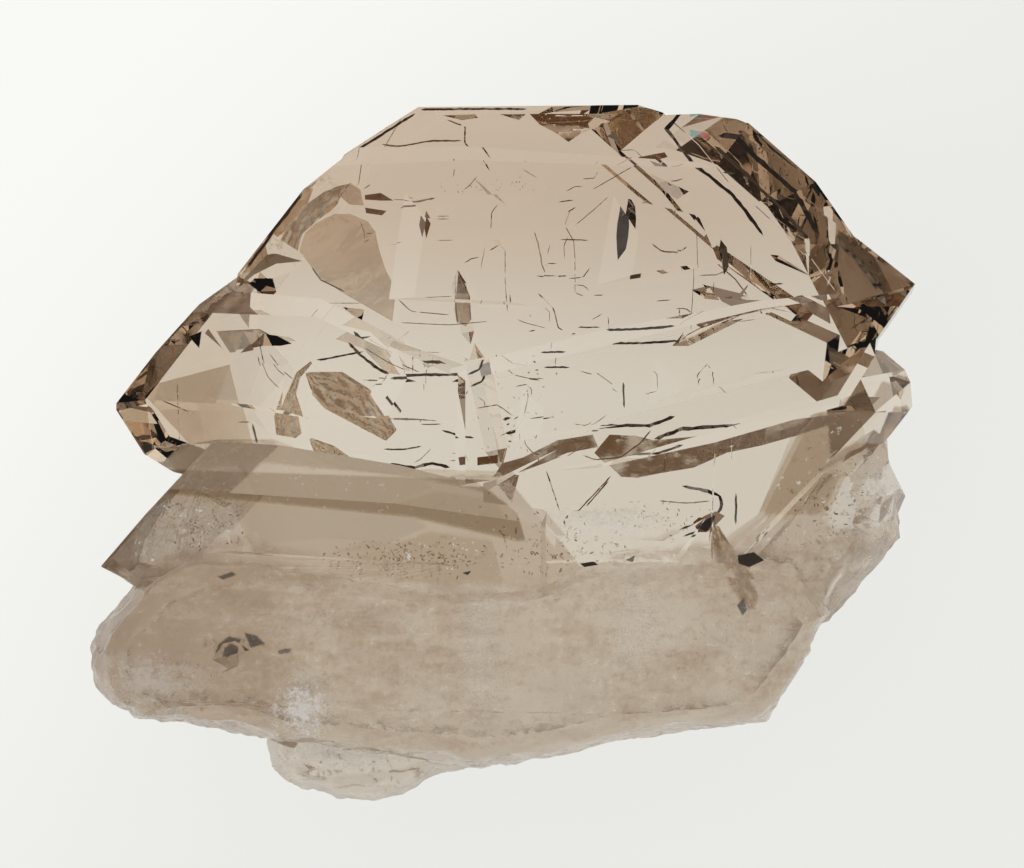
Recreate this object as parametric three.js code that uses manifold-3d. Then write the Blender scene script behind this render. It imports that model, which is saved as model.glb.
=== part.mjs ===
// A smoky quartz gwindel: a stack of flat quartz crystals that grew together, each one turned a little
// about the stack's axis, so that the whole crystal is twisted. It lies on its back.
// Millimetres, +Z up. +X runs along the crystals' points (their c axis), +Y up the stack (their shared
// a axis), and z = 0 is the surface that the crystal rests on.
import * as THREE from "three";
import { mergeVertices } from "three/addons/utils/BufferGeometryUtils.js";
import { ConvexGeometry } from "three/addons/geometries/ConvexGeometry.js";
import Module from "manifold-3d";

const wasm = await Module();
wasm.setup();

// Driving dimensions
const LARGEST = 100; // a block that holds any single crystal
const TWIST_AXIS_Z = 10; // height of the axis that the stack turns about
const GIRDLE_Z = 12.5; // height of the widest outline of the flat crystals

// Slopes of the crystal faces against the lying plane, in degrees. Over 90, a face overhangs.
const WALL = 88; // the narrow side walls beside the broad front faces
const UNDERCUT = 83; // the side walls beside the broad back faces
const RIM = 68; // the prism and rhombohedral faces that run under the points' rims
const RHOMB = 38.2; // the broad rhombohedral faces under the points
const HIDDEN = 84; // sides that are grown into a neighbour
const STEP = 52; // the risers of growth steps
const LOW_STEP = 24; // and of worn ones
const GENTLE = 9; // the sides where a growth step runs out

// Each flat crystal has an outline at its widest, which runs counter-clockwise, the heights of its
// broad front and back faces on the twist axis, and its turn. Its sides are numbered from the first
// point on: frontSlopes and backSlopes give some of them other slopes than the walls. rhombs are the
// sides under which a rhombohedral face starts at rhombZ. risers are the sides that step up from the
// front of a neighbour, which lies at riserZ.
const CROWN = {
  outline: [
    [-15.1, 23.3], [-10.7, 11.0], [12.2, 11.0], [21.0, 22.4], [17.5, 26.8],
    [13.7, 30.2], [12.4, 30.6], [-6.9, 30.5], [-9.4, 28.9], [-13.3, 26.5],
  ],
  front: 16.6, back: 1.9, turn: -5.5,
  frontSlopes: { 3: 94, 4: 94 }, backSlopes: { 3: 64, 4: 64, 6: 86, 7: 84 },
};
const UPPER = {
  outline: [
    [-22.8, 15.9], [-23.5, 11.0], [-17.7, 2.2], [8.7, 2.2], [31.5, 11.0], [26.3, 18.0],
    [22.7, 21.1], [16.6, 26.8], [-2.8, 27.5], [-12.2, 27.1], [-17.0, 23.3],
  ],
  front: 17.1, back: 1.5, turn: -4.6,
  risers: { 7: LOW_STEP, 8: LOW_STEP }, riserZ: 16.3,
  frontSlopes: { 4: 94, 5: 94, 6: 94 }, backSlopes: { 4: 60, 5: 62, 6: 64, 9: 80, 10: 76 },
};
const LEFT_POINT = {
  outline: [
    [-33.5, 4.6], [-33.5, 3.9], [-31.9, 1.4], [-31.0, 0.0], [-28.4, -1.6], [-17.7, -4.0],
    [-0.1, -3.1], [5.1, 4.8], [-3.0, 9.7], [-8.9, 12.5], [-15.1, 15.4], [-22.9, 15.7],
    [-26.2, 13.3], [-30.0, 9.1],
  ],
  front: 17.5, back: 1.1, turn: -3.4,
  risers: { 6: STEP, 7: STEP, 8: LOW_STEP, 9: LOW_STEP, 10: LOW_STEP }, riserZ: 16.0,
  backSlopes: { 0: RIM, 1: RIM, 2: RIM, 3: RIM, 11: 88, 12: 88, 13: 74 },
  rhombs: [0, 1, 2, 13], rhombZ: 8.7,
};
const RIGHT_BLOCK = {
  outline: [
    [-3.7, -3.1], [8.7, -1.3], [29.8, 4.8], [33.0, 10.0], [33.3, 12.6], [29.3, 14.5],
    [22.7, 13.6], [9.5, 10.5], [-3.7, 7.2],
  ],
  front: 17.9, back: 1.3, turn: -3.4,
  risers: { 0: 40, 1: 40, 2: 40, 5: LOW_STEP, 6: LOW_STEP, 7: LOW_STEP, 8: LOW_STEP }, riserZ: 17.5,
  backSlopes: { 3: RIM, 4: RIM },
};
const SHOULDER = {
  outline: [
    [8.7, 27.7], [5.1, 22.4], [5.1, 4.8], [17.5, 0.4], [32.4, 9.7], [33.3, 14.5],
    [31.3, 18.4], [27.6, 23.7], [21.8, 28.8], [19.8, 29.5], [17.7, 29.8], [14.4, 29.7],
  ],
  front: 15.2, back: 2.4, turn: -6.5,
  frontSlopes: { 5: 96, 6: 96, 7: 95, 8: 93 },
  backSlopes: { 5: 62, 6: 64, 7: 66, 8: 68, 9: 72, 10: 76 },
};
const RIGHT_POINT = {
  outline: [
    [24.5, 23.3], [8.7, 13.6], [17.5, 2.2], [33.0, 10.0], [33.7, 11.0], [35.0, 12.6],
    [35.9, 14.0], [36.0, 14.7], [31.3, 18.4],
  ],
  front: 16.6, back: 2.0, turn: -3.8,
  frontSlopes: { 4: 94, 5: 94, 6: 94, 7: 94, 8: 94 },
  backSlopes: { 3: 56, 4: 56, 5: 56, 6: 60, 7: 52, 8: 52 },
};

// The second row of crystals, which meet at a seam near the middle
const SECOND_LEFT = {
  outline: [
    [-26.1, 0.9], [-28.2, -1.5], [-31.2, -5.0], [-35.1, -9.2], [-35.0, -9.8], [-32.5, -11.1],
    [-17.7, -16.3], [5.1, -14.5], [5.1, -2.2], [-8.9, -0.2],
  ],
  front: 18.9, back: 0, turn: 0,
  risers: { 7: STEP, 8: 30, 9: 30 }, riserZ: 16.6,
  backSlopes: { 0: 86, 1: 86, 2: 85, 3: 76, 4: 80 },
  rhombs: [2], rhombZ: 5.0,
};
const SECOND_RIGHT = {
  outline: [
    [-1.9, -2.2], [-1.9, -12.8], [22.7, -12.8], [33.8, 1.6], [35.9, 3.8], [35.7, 6.4],
    [35.2, 7.5], [33.3, 9.1], [31.5, 9.6], [8.7, 4.0],
  ],
  front: 18.2, back: 0, turn: 0,
  risers: { 8: 35, 9: 35 }, riserZ: 17.5,
  frontSlopes: { 3: 66, 4: 58, 5: 54, 6: 60 }, backSlopes: { 2: 88, 3: 84, 4: 60, 5: 60, 6: 62 },
};

// The cloudy base, broken off along its lower edge and its right end
const BASE = {
  outline: [
    [-35.5, -15.1], [-36.0, -17.0], [-36.0, -18.4], [-35.2, -20.6], [-34.5, -21.7], [-32.8, -22.4],
    [-32.2, -23.1], [-27.7, -23.2], [-23.3, -24.1], [-20.8, -24.9], [-16.1, -25.4], [-11.5, -26.2],
    [-7.4, -26.8], [-2.5, -27.4], [1.6, -26.7], [5.9, -26.0], [11.0, -24.9], [16.7, -24.2],
    [23.0, -23.2], [24.9, -20.6], [26.1, -18.6], [26.8, -17.0], [27.6, -15.1], [28.6, -13.4],
    [26.0, -8.6], [21.0, -7.5], [12.0, -8.5], [3.0, -10.8], [-6.3, -11.2], [-16.0, -9.8],
    [-23.9, -8.1], [-28.3, -8.4], [-31.7, -10.6],
  ],
  turn: 2.4,
  rings: [
    { z: 0.2, inset: 2.6 }, { z: 2.2, inset: 0.9 }, { z: 6.5, inset: 0.15 }, { z: 11.0, inset: 0 },
    { z: 16.0, inset: 0.5 }, { z: 18.6, inset: 1.2 }, { z: 20.0, inset: 2.9 },
  ],
  ragged: 0.35,
};
const BROKEN_END = {
  outline: [
    [25.0, 3.2], [19.2, -0.5], [16.5, -6.0], [17.7, -12.5], [23.0, -16.0], [27.4, -15.1],
    [28.6, -14.4], [30.1, -12.8], [32.2, -10.6], [33.7, -9.1], [34.6, -7.3], [34.8, -5.5],
    [35.2, -3.4], [35.1, -2.6], [34.3, -0.3], [33.9, 1.3], [33.8, 2.2],
  ],
  turn: 0,
  rings: [
    { z: 2.6, inset: 3.6 }, { z: 4.6, inset: 1.2 }, { z: 8.5, inset: 0 }, { z: 12.0, inset: 0.5 },
    { z: 15.0, inset: 2.2 }, { z: 17.2, inset: 4.4 },
  ],
  ragged: 0.5,
};
const LOBE = {
  outline: [
    [-20.9, -25.0], [-20.7, -26.3], [-20.3, -27.5], [-19.3, -28.9], [-17.8, -29.6], [-15.9, -29.7],
    [-14.8, -30.1], [-11.1, -30.4], [-8.9, -30.0], [-7.6, -29.4], [-6.1, -28.2], [-3.4, -27.6],
    [-1.9, -26.6], [-2.8, -23.6], [-8.9, -22.4], [-17.7, -22.4],
  ],
  turn: 0,
  rings: [
    { z: 2.2, inset: 1.8 }, { z: 3.6, inset: 0.6 }, { z: 6.6, inset: 0 }, { z: 9.6, inset: 0.5 },
    { z: 11.4, inset: 1.6 }, { z: 12.2, inset: 2.6 },
  ],
  ragged: 0.3,
};

// Growth steps on the broad front faces: low plates, each lying on one crystal of the stack. The first
// side of each is a short steep riser, and the others run out gently.
const FRONT_STEPS = [
  {
    on: UPPER, rise: 0.35,
    outline: [[-9.4, 13.6], [3.2, 13.0], [4.6, 17.0], [3.4, 22.6], [-8.0, 22.9]],
  },
  { on: UPPER, rise: 0.45, outline: [[8.8, 14.8], [19.4, 16.6], [17.6, 20.8], [10.2, 22.6]] },
  { on: LEFT_POINT, rise: 0.35, outline: [[-12.2, 3.4], [-3.4, 2.6], [-2.6, 7.2], [-8.9, 9.4]] },
  { on: LEFT_POINT, rise: 0.4, outline: [[-24.6, 4.6], [-16.4, 3.2], [-15.8, 10.0], [-22.2, 10.8]] },
  { on: RIGHT_BLOCK, rise: 0.35, outline: [[1.4, 1.2], [10.4, 2.6], [9.8, 7.4], [2.2, 5.8]] },
  { on: RIGHT_BLOCK, rise: 0.4, outline: [[13.0, 4.4], [25.6, 7.6], [26.4, 10.6], [13.8, 8.6]] },
  { on: SECOND_LEFT, rise: 0.4, outline: [[-26.0, -8.4], [-4.0, -9.6], [-3.0, -8.2], [-24.0, -6.4]] },
  { on: SECOND_RIGHT, rise: 0.35, outline: [[2.2, -9.4], [15.4, -9.2], [17.6, -5.4], [2.6, -4.6]] },
];
const PLATE_ROOT = 0.2; // how far a growth step reaches into its crystal

// Grooves between crystals and blocks on the back: ends, width, depth, and the back's height there
const BACK_GROOVES = [
  { ends: [[15.4, 9.7], [23.6, 13.4]], width: 1.2, depth: 0.9, backZ: 2.3 },
  { ends: [[22.4, 13.4], [30.4, 11.4]], width: 1.4, depth: 1.0, backZ: 2.7 },
  { ends: [[17.0, 14.6], [24.6, 13.2]], width: 1.3, depth: 0.9, backZ: 2.8 },
  { ends: [[21.6, 18.9], [32.6, 13.0]], width: 3.3, depth: 2.1, backZ: 3.4 },
  { ends: [[-32.0, 8.4], [-24.2, 8.8]], width: 1.6, depth: 1.1, backZ: 2.6 },
  { ends: [[-24.4, 13.9], [-17.2, 13.2]], width: 1.4, depth: 1.1, backZ: 0 },
  { ends: [[3.0, 29.6], [12.4, 29.0]], width: 1.9, depth: 1.4, backZ: 1.9 },
  { ends: [[-2.2, 10.4], [0.2, -1.4]], width: 1.9, depth: 0.74, backZ: 1.1 },
  { ends: [[-3.6, 16.4], [-2.4, 9.6]], width: 1.3, depth: 0.5, backZ: 1.2 },
];
const GROOVE_LIP = 3; // how far a groove's cutter runs on outside the face

// A pit in the base's front, with the height of the front there
const FRONT_GROOVES = [
  { ends: [[-25.0, -17.6], [-21.8, -16.8]], width: 2.2, depth: 1.1, frontZ: 21.0 },
];

const radians = THREE.MathUtils.degToRad;

// A closed three.js geometry as a solid
function solidOf(geometry) {
  const bare = geometry.index ? geometry.toNonIndexed() : geometry.clone();
  bare.deleteAttribute("normal");
  bare.deleteAttribute("uv");
  const merged = mergeVertices(bare, 1e-4);
  return new wasm.Manifold(
    new wasm.Mesh({
      numProp: 3,
      vertProperties: new Float32Array(merged.attributes.position.array),
      triVerts: new Uint32Array(merged.index.array),
    }),
  );
}

// Keeps the part of a solid that lies behind a face with this outward direction
function cutFace(solid, outward, point) {
  const inward = outward.clone().negate();
  return solid.trimByPlane(inward.toArray(), inward.dot(point));
}

// Turns a solid about the stack's axis
function turned(solid, degrees) {
  return solid.translate([0, 0, -TWIST_AXIS_Z]).rotate([0, degrees, 0]).translate([0, 0, TWIST_AXIS_Z]);
}

// The outward direction of a face that slopes down away from the front, or up away from the back
function faceDirection(away, slope, up) {
  const level = Math.sin(radians(slope));
  return new THREE.Vector3(away.x * level, away.y * level, up * Math.cos(radians(slope)));
}

// A flat crystal: each side has a front and a back face, which meet on the girdle
function crystal(shape) {
  const { outline, front, back, turn, risers = {}, riserZ, rhombs = [], rhombZ } = shape;
  const { frontSlopes = {}, backSlopes = {} } = shape;
  let solid = solidOf(new THREE.BoxGeometry(LARGEST, LARGEST, LARGEST));
  outline.forEach(([x, y], side) => {
    const [nextX, nextY] = outline[(side + 1) % outline.length];
    const away = new THREE.Vector2(nextY - y, x - nextX).normalize();
    const rises = side in risers;
    const cutSide = (slope, up, z) => {
      solid = cutFace(solid, faceDirection(away, slope, up), new THREE.Vector3(x, y, z));
    };
    cutSide(rises ? risers[side] : (frontSlopes[side] ?? WALL), 1, rises ? riserZ : GIRDLE_Z);
    cutSide(backSlopes[side] ?? (rises ? HIDDEN : UNDERCUT), -1, GIRDLE_Z);
    if (rhombs.includes(side)) cutSide(RHOMB, -1, rhombZ);
  });
  solid = cutFace(solid, new THREE.Vector3(0, 0, 1), new THREE.Vector3(0, 0, front));
  solid = cutFace(solid, new THREE.Vector3(0, 0, -1), new THREE.Vector3(0, 0, back));
  return turned(solid, turn);
}

// An outline shrunk about its middle until its farthest sides have moved inwards by a distance
function shrunkOutline(outline, distance) {
  const box = new THREE.Box2().setFromPoints(outline.map((point) => new THREE.Vector2(...point)));
  const middle = box.getCenter(new THREE.Vector2());
  const size = box.getSize(new THREE.Vector2());
  return outline.map(
    ([x, y]) =>
      new THREE.Vector2(
        middle.x + (x - middle.x) * (1 - (2 * distance) / size.x),
        middle.y + (y - middle.y) * (1 - (2 * distance) / size.y),
      ),
  );
}

// A smooth unevenness between -1 and 1, the same for the same place every time
function unevenness(x, y, z) {
  return (
    Math.sin(1.9 * x + 0.7 * z) * Math.cos(2.3 * y - 0.9 * z) * 0.6 +
    Math.sin(4.1 * y + 3.3 * x + 2.1 * z) * 0.4
  );
}

// A broken block: rings of its outline at several heights, with flat ends and ragged sides
function brokenBlock({ outline, turn, rings, ragged }) {
  const points = [];
  const faces = [];
  const count = outline.length;
  rings.forEach(({ z, inset }) => {
    for (const p of shrunkOutline(outline, inset)) {
      const sag = unevenness(p.x, p.y, z) * ragged;
      points.push([p.x + sag, p.y + unevenness(p.y, z, p.x) * ragged, z]);
    }
  });
  for (let ring = 0; ring + 1 < rings.length; ring++)
    for (let i = 0; i < count; i++) {
      const a = ring * count + i;
      const b = ring * count + ((i + 1) % count);
      faces.push([a, b, b + count], [a, b + count, a + count]);
    }
  const capOf = (ring) => {
    const ends = points.slice(ring * count, (ring + 1) * count);
    const flat = ends.map(([x, y]) => new THREE.Vector2(x, y));
    const cap = THREE.ShapeUtils.triangulateShape(flat, []);
    return cap.map((face) => face.map((i) => i + ring * count));
  };
  faces.push(...capOf(rings.length - 1), ...capOf(0).map(([a, b, c]) => [c, b, a]));
  const geometry = new THREE.BufferGeometry();
  geometry.setAttribute("position", new THREE.Float32BufferAttribute(points.flat(), 3));
  geometry.setIndex(faces.flat());
  return turned(solidOf(geometry), turn);
}

// A low plate on the front face of one crystal
function frontStep({ on, rise, outline }) {
  const risers = Object.fromEntries(outline.map((_, side) => [side, side === 0 ? STEP : GENTLE]));
  const plate = { outline, front: on.front + rise, back: on.front - PLATE_ROOT, turn: on.turn };
  return crystal({ ...plate, risers, riserZ: on.front });
}

// The cutter of a boat-shaped groove in a face at z = 0: pointed ends, sloping sides and a ridge
function grooveCutter({ ends: [start, end], width, depth }) {
  const a = new THREE.Vector2(...start);
  const b = new THREE.Vector2(...end);
  const along = b.clone().sub(a).normalize();
  const across = new THREE.Vector2(-along.y, along.x).multiplyScalar(width / 2);
  const reach = Math.min(width, a.distanceTo(b) / 3);
  const spread = (GROOVE_LIP + depth) / depth; // the sides run on outside the face at the same slope
  const place = (point, side, z) => {
    const p = point.clone().addScaledVector(across, side);
    return new THREE.Vector3(p.x, p.y, z);
  };
  const nearA = a.clone().addScaledVector(along, reach);
  const nearB = b.clone().addScaledVector(along, -reach);
  return solidOf(
    new ConvexGeometry([
      place(nearA, 0, depth), place(nearB, 0, depth),
      place(nearA.clone().addScaledVector(along, -reach * spread), 0, -GROOVE_LIP),
      place(nearB.clone().addScaledVector(along, reach * spread), 0, -GROOVE_LIP),
      place(nearA, spread, -GROOVE_LIP), place(nearA, -spread, -GROOVE_LIP),
      place(nearB, spread, -GROOVE_LIP), place(nearB, -spread, -GROOVE_LIP),
    ]),
  );
}

const backGrooveCutter = (groove) => grooveCutter(groove).translate([0, 0, groove.backZ]);

const frontGrooveCutter = (groove) =>
  grooveCutter(groove).mirror([0, 0, 1]).translate([0, 0, groove.frontZ]);

function gwindelSolid() {
  const flat = [CROWN, UPPER, LEFT_POINT, RIGHT_BLOCK, SHOULDER, RIGHT_POINT, SECOND_LEFT, SECOND_RIGHT];
  const crystals = flat.map(crystal);
  const blocks = [BASE, BROKEN_END, LOBE].map(brokenBlock);
  const stack = wasm.Manifold.union([...crystals, ...blocks, ...FRONT_STEPS.map(frontStep)]);
  const cutters = [...BACK_GROOVES.map(backGrooveCutter), ...FRONT_GROOVES.map(frontGrooveCutter)];
  const grooved = stack.subtract(wasm.Manifold.union(cutters));
  const rested = cutFace(grooved, new THREE.Vector3(0, 0, -1), new THREE.Vector3(0, 0, 0));
  const { min, max } = rested.boundingBox();
  return rested.translate([-(min[0] + max[0]) / 2, -(min[1] + max[1]) / 2, 0]);
}

function geometryOf(solid) {
  const { numProp, vertProperties, triVerts } = solid.getMesh();
  const geometry = new THREE.BufferGeometry();
  const points = new THREE.InterleavedBuffer(vertProperties, numProp);
  geometry.setAttribute("position", new THREE.InterleavedBufferAttribute(points, 3, 0));
  geometry.setIndex(new THREE.BufferAttribute(triVerts, 1));
  const plain = geometry.toNonIndexed();
  plain.computeVertexNormals();
  return plain;
}

const smokyQuartz = new THREE.MeshStandardMaterial({ color: 0xb9a690, roughness: 0.15, metalness: 0 });
const gwindel = new THREE.Mesh(geometryOf(gwindelSolid()), smokyQuartz);
gwindel.name = "gwindel";

const part = new THREE.Group();
part.add(gwindel);

export default part;
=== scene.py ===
"""The looks of a smoky quartz gwindel that lies on its back: clear above, cloudy below."""

import math
import random

import bmesh
import bpy
from mathutils import Matrix, Vector, noise
from mathutils.bvhtree import BVHTree

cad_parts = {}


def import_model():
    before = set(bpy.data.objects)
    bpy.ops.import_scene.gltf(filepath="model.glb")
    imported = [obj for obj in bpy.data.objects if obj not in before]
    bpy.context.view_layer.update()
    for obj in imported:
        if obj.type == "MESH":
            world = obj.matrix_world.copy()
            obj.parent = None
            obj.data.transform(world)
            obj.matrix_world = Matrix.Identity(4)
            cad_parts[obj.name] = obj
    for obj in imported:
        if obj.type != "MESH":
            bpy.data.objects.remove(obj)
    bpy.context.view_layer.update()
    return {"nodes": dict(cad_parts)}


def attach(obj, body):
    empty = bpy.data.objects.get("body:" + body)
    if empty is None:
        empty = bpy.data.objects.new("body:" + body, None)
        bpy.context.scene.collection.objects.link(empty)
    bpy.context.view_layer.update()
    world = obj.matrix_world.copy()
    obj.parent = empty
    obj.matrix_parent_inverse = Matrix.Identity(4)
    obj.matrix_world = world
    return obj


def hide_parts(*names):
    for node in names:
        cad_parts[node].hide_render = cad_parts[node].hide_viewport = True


MM = 0.001
SEED = 7

# The view from straight above, in millimetres of the part's frame
VIEW_CENTRE = (0.92, 1.85)
VIEW_WIDTH = 90.1
LENS = 240.0
SENSOR = 36.0
CRYSTAL_MIDDLE_Z = 10.0
SIGHT = 10.0  # how far the camera sees, in metres

# The pale floor: how far it reaches, and how it glows near the crystal, fades with the distance in
# metres, and is a little darker towards one corner
FLOOR_Z = -0.05
FLOOR_HALF = 1500.0
FLOOR_ROUGHNESS = 0.9
FLOOR_GLOW = 0.87
GLOW_COLOUR = (1, 1.005, 0.965, 1)
GLOW_FADES = (0.06, 0.16)
CORNER_FADES = (-0.075, 0.03)
CORNER_GLOW = 0.86
FLOOR_NEAR = (0.12, 0.12, 0.12, 1)
FLOOR_FAR = (0.82, 0.83, 0.80, 1)

# The studio light at the horizon, in a ring above it and overhead, and how high up it changes, where 1
# is straight up
HORIZON = (0.13, 0.07, 0.03, 1)
LIT_RING = (1.05, 1.05, 1.03, 1)
OVERHEAD = (0.16, 0.15, 0.14, 1)
RING_RISES = (0.12, 0.80)
OVERHEAD_BEGINS = (0.88, 0.94)

# Quartz: how it bends light, and what smoky quartz leaves of each colour
QUARTZ_IOR = 1.544
SMOKE_PER_METRE = 23.0
SMOKE_COLOUR = (0.77, 0.60, 0.40)

# Colours of light that passes through or comes back from the surface
CLEAR_TINT = (0.93, 0.905, 0.857, 1)
POINT_TINT = (0.80, 0.71, 0.61, 1)
CROWN_TINT = (0.75, 0.645, 0.55, 1)
CLOUD_TINT = (0.66, 0.54, 0.43, 1)
PALE_TINT = (0.96, 0.90, 0.81, 1)
HAZE_TINT = (0.72, 0.60, 0.48, 1)
WHITE = (0.98, 0.97, 0.95, 1)
DARK_SPECK = (0.45, 0.33, 0.22, 1)
# painted shade: near-black colour on the walls of the wider cracks and the dark spots
PAINTED_SHADE_COLOUR = (0.05, 0.035, 0.025, 1)
VEIL_TINT = (0.88, 0.68, 0.48, 1)
# painted golden glints on the crumpled cracks
VEIL_GLINT = (1.0, 0.90, 0.76, 1)
# painted shade: the darker brown on the crown's steep left side walls
WALL_SHADE_TINT = (0.50, 0.38, 0.27, 1)
PINK = (0.95, 0.45, 0.55, 1)
CYAN = (0.35, 0.85, 0.95, 1)

# All sizes from here on are millimetres, and all angles degrees. The upper edge of the cloudy base,
# as places across the view, and of the half cloudy second row
CLOUD_EDGE = [
    (-36.0, -11.0), (-31.7, -10.6), (-28.3, -8.4), (-23.9, -8.1), (-16.0, -9.8), (-6.3, -11.2),
    (3.0, -10.8), (12.0, -8.5), (21.0, -7.5), (26.0, -7.6), (36.0, -5.0),
]
HAZE_EDGE = [
    (-36.0, -0.9), (-29.5, -0.6), (-28.0, 0.8), (-24.8, 1.3), (-19.8, 1.3), (-14.0, -1.0), (-9.6, -1.6),
    (-6.3, -1.3), (0.0, -1.5), (5.1, -7.5), (8.7, -11.9), (17.5, -9.0), (22.7, -5.3), (25.5, 1.3),
    (27.7, 3.8), (36.0, 3.8),
]
BOTTOM_EDGE = [
    (-36.0, -19.5), (-32.5, -22.6), (-23.3, -23.8), (-16.1, -25.2), (-7.4, -26.6), (-2.5, -27.2),
    (5.9, -25.8), (16.7, -24.0), (23.0, -23.0), (28.0, -19.0), (36.0, -14.0),
]
# How pale the cloudy quartz is across the view, from 0 to 1
PALENESS = [(-36.0, 0.0), (-25.0, 0.05), (-14.0, 0.5), (0.0, 0.8), (12.0, 0.85), (22.0, 0.55), (36.0, 0.7)]
EDGE_REACH = 36.0
EDGE_SOFT = 0.16
# How wide the soft border of the cloudy base is, and how far it wanders
CLOUD_SOFT = (-0.4, 0.5)
CLOUD_WANDER = 0.4
CLOUD_CLARITY = 0.62  # share of light that goes straight on through the cloudy quartz
CLOUD_FROST = 0.5
CLOUD_BUMP = 0.5
BUMP_DEPTH = 0.15
CLOUD_SPECKS = 0.25
HAZE_CLOUD = 0.6
HAZE_SPECKS = 0.2
# The paler bottom edge, and the clearer one: from how far above the bottom on, and to where in full
PALE_EDGE = (2.2, 0.6)
CLEAR_EDGE = (2.4, 0.8)
EDGE_CLOUD = 0.6
FRONT_FROM = 12.5  # height above which the cloudy quartz is polished
FRONT_SOFT = 3.0
FRONT_CLOUD = 0.2  # what is left of the cloudiness there in the second row
BASE_FRONT_CLOUD = 0.5  # and in the base

# Noise in the quartz: how many patches in a millimetre, its detail and its roughness. The streaks are
# stretched along the crystals. Then how much each noise changes the colour
BROAD = (0.16, 2.0, 0.65)
FINE = (1.3, 3.0, 0.8)
STREAKED = (1.0, 2.0, 0.65)
STREAK_STRETCH = (0.22, 0.9, 0.5)
BROAD_MOTTLE = 0.25
STREAK_MOTTLE = 0.3
FINE_MOTTLE = 0.3
SPECK_NOISE = (0.42, 0.34)
# the noise band for the painted glints
GLINT_NOISE = (0.62, 0.68)
VEIL_NOISE = (0.47, 0.57)

# How clear and how rough the kinds of quartz are
FROST_CLARITY = 0.1
FROST_SHARE = 0.8
VEIL_CLARITY = 0.75
VEIL_FROST = 0.3
# the clarity of the painted shade in the wider cracks and the dark spots
DARK_CLARITY = 0.2

# The tints change over these places across the view, and up it
POINT_FADES = (-16.0, -27.0)
CROWN_FADES = (4.0, 24.0)
RAINBOW_FADES = (16.9, 18.1)

# Parts of the second row and of the broken end that differ: tint, cloudiness, and how much of the fine
# specks they hold, then the two lines that they lie between
PATCHES = [
    ((0.42, 0.30, 0.18, 1), 0.85, 0.4,
     [(-30.4, -4.6), (-28.6, -1.2), (-2.4, -2.1), (1.4, -5.0), (2.4, -8.6)],
     [(-30.4, -3.4), (-28.6, -3.4), (-23.5, -3.9), (-7.5, -5.5), (1.4, -7.5), (2.4, -7.4)]),
    ((1.0, 0.90, 0.75, 1), 0.75, 0.3,
     [(-30.0, -1.0), (-26.0, 1.6), (-19.0, 1.6)],
     [(-30.0, -1.1), (-28.6, -1.2), (-19.0, -1.5)]),
    ((0.52, 0.40, 0.28, 1), 0.55, 0.0,
     [(-24.4, -5.2), (-23.5, -3.9), (-7.5, -5.5), (-5.6, -7.0)],
     [(-24.4, -4.0), (-23.2, -5.0), (-21.3, -8.8), (-10.9, -8.2), (-5.6, -5.9)]),
    ((0.86, 0.80, 0.73, 1), 0.85, 1.0,
     [(-32.6, -11.0), (-31.0, -3.9), (-23.5, -4.2), (-21.2, -8.9), (-20.6, -11.0)],
     [(-32.6, -9.6), (-31.2, -9.4), (-27.8, -8.7), (-20.6, -8.9)]),
    ((0.66, 0.53, 0.39, 1), 0.75, 1.0,
     [(-18.4, -12.0), (-15.0, -9.6), (-10.9, -8.3), (-6.3, -6.7), (-0.8, -7.5), (0.6, -13.0)],
     [(-18.4, -9.0), (-14.8, -12.6), (0.0, -12.6), (0.6, -9.0)]),
    ((0.62, 0.48, 0.34, 1), 0.85, 0.9,
     [(21.8, -7.4), (22.6, -5.3), (26.2, 1.8), (27.7, 3.8), (31.2, 3.1), (32.6, -1.0)],
     [(21.8, -5.0), (28.0, -5.3), (32.0, 0.2), (32.6, 0.8)]),
    ((0.84, 0.74, 0.64, 1), 0.85, 1.0,
     [(21.0, -8.4), (22.0, -6.6), (28.4, -5.6), (32.0, -9.9), (33.0, -12.0)],
     [(21.0, -7.0), (22.6, -15.4), (27.1, -15.2), (29.7, -12.8), (32.0, -9.9), (33.0, -9.0)]),
    ((0.97, 0.94, 0.90, 1), 0.60, 0.9,
     [(28.0, -6.4), (29.7, -2.2), (32.2, 0.3), (34.6, -0.6), (35.6, -5.0)],
     [(28.0, -5.2), (32.0, -9.9), (33.9, -5.4), (35.6, -3.0)]),
]
# White frosty spots of fine cracks: how white, their middle, and their reach each way
FROST_SPOTS = [
    (0.95, (-17.3, -22.0, 15.0), (2.4, 2.8, 40.0)),
    (0.50, (-30.6, -19.6, 15.0), (4.4, 2.4, 40.0)),
    (0.45, (-14.0, -26.2, 10.0), (7.0, 1.2, 40.0)),
    (0.35, (32.2, -4.2, 12.0), (1.8, 4.8, 40.0)),
    (0.30, (9.4, -6.0, 10.0), (5.4, 1.5, 40.0)),
    (0.25, (11.5, -14.5, 10.0), (2.4, 4.5, 40.0)),
    (0.25, (-2.0, -17.0, 10.0), (2.0, 7.0, 40.0)),
]
# Painted shade on the crown's steep left side walls, a darker brown: the middle and the reach of each
WALL_SHADE_SPOTS = [
    ((-20.8, 19.2, 9.0), (3.3, 4.0, 8.0)),
    ((-16.0, 24.7, 9.0), (3.2, 2.2, 8.0)),
    ((-25.6, 14.2, 9.0), (4.4, 1.8, 8.0)),
]
RAINBOW = ((17.5, 28.0, 12.0), (1.1, 0.6, 3.0))

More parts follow.
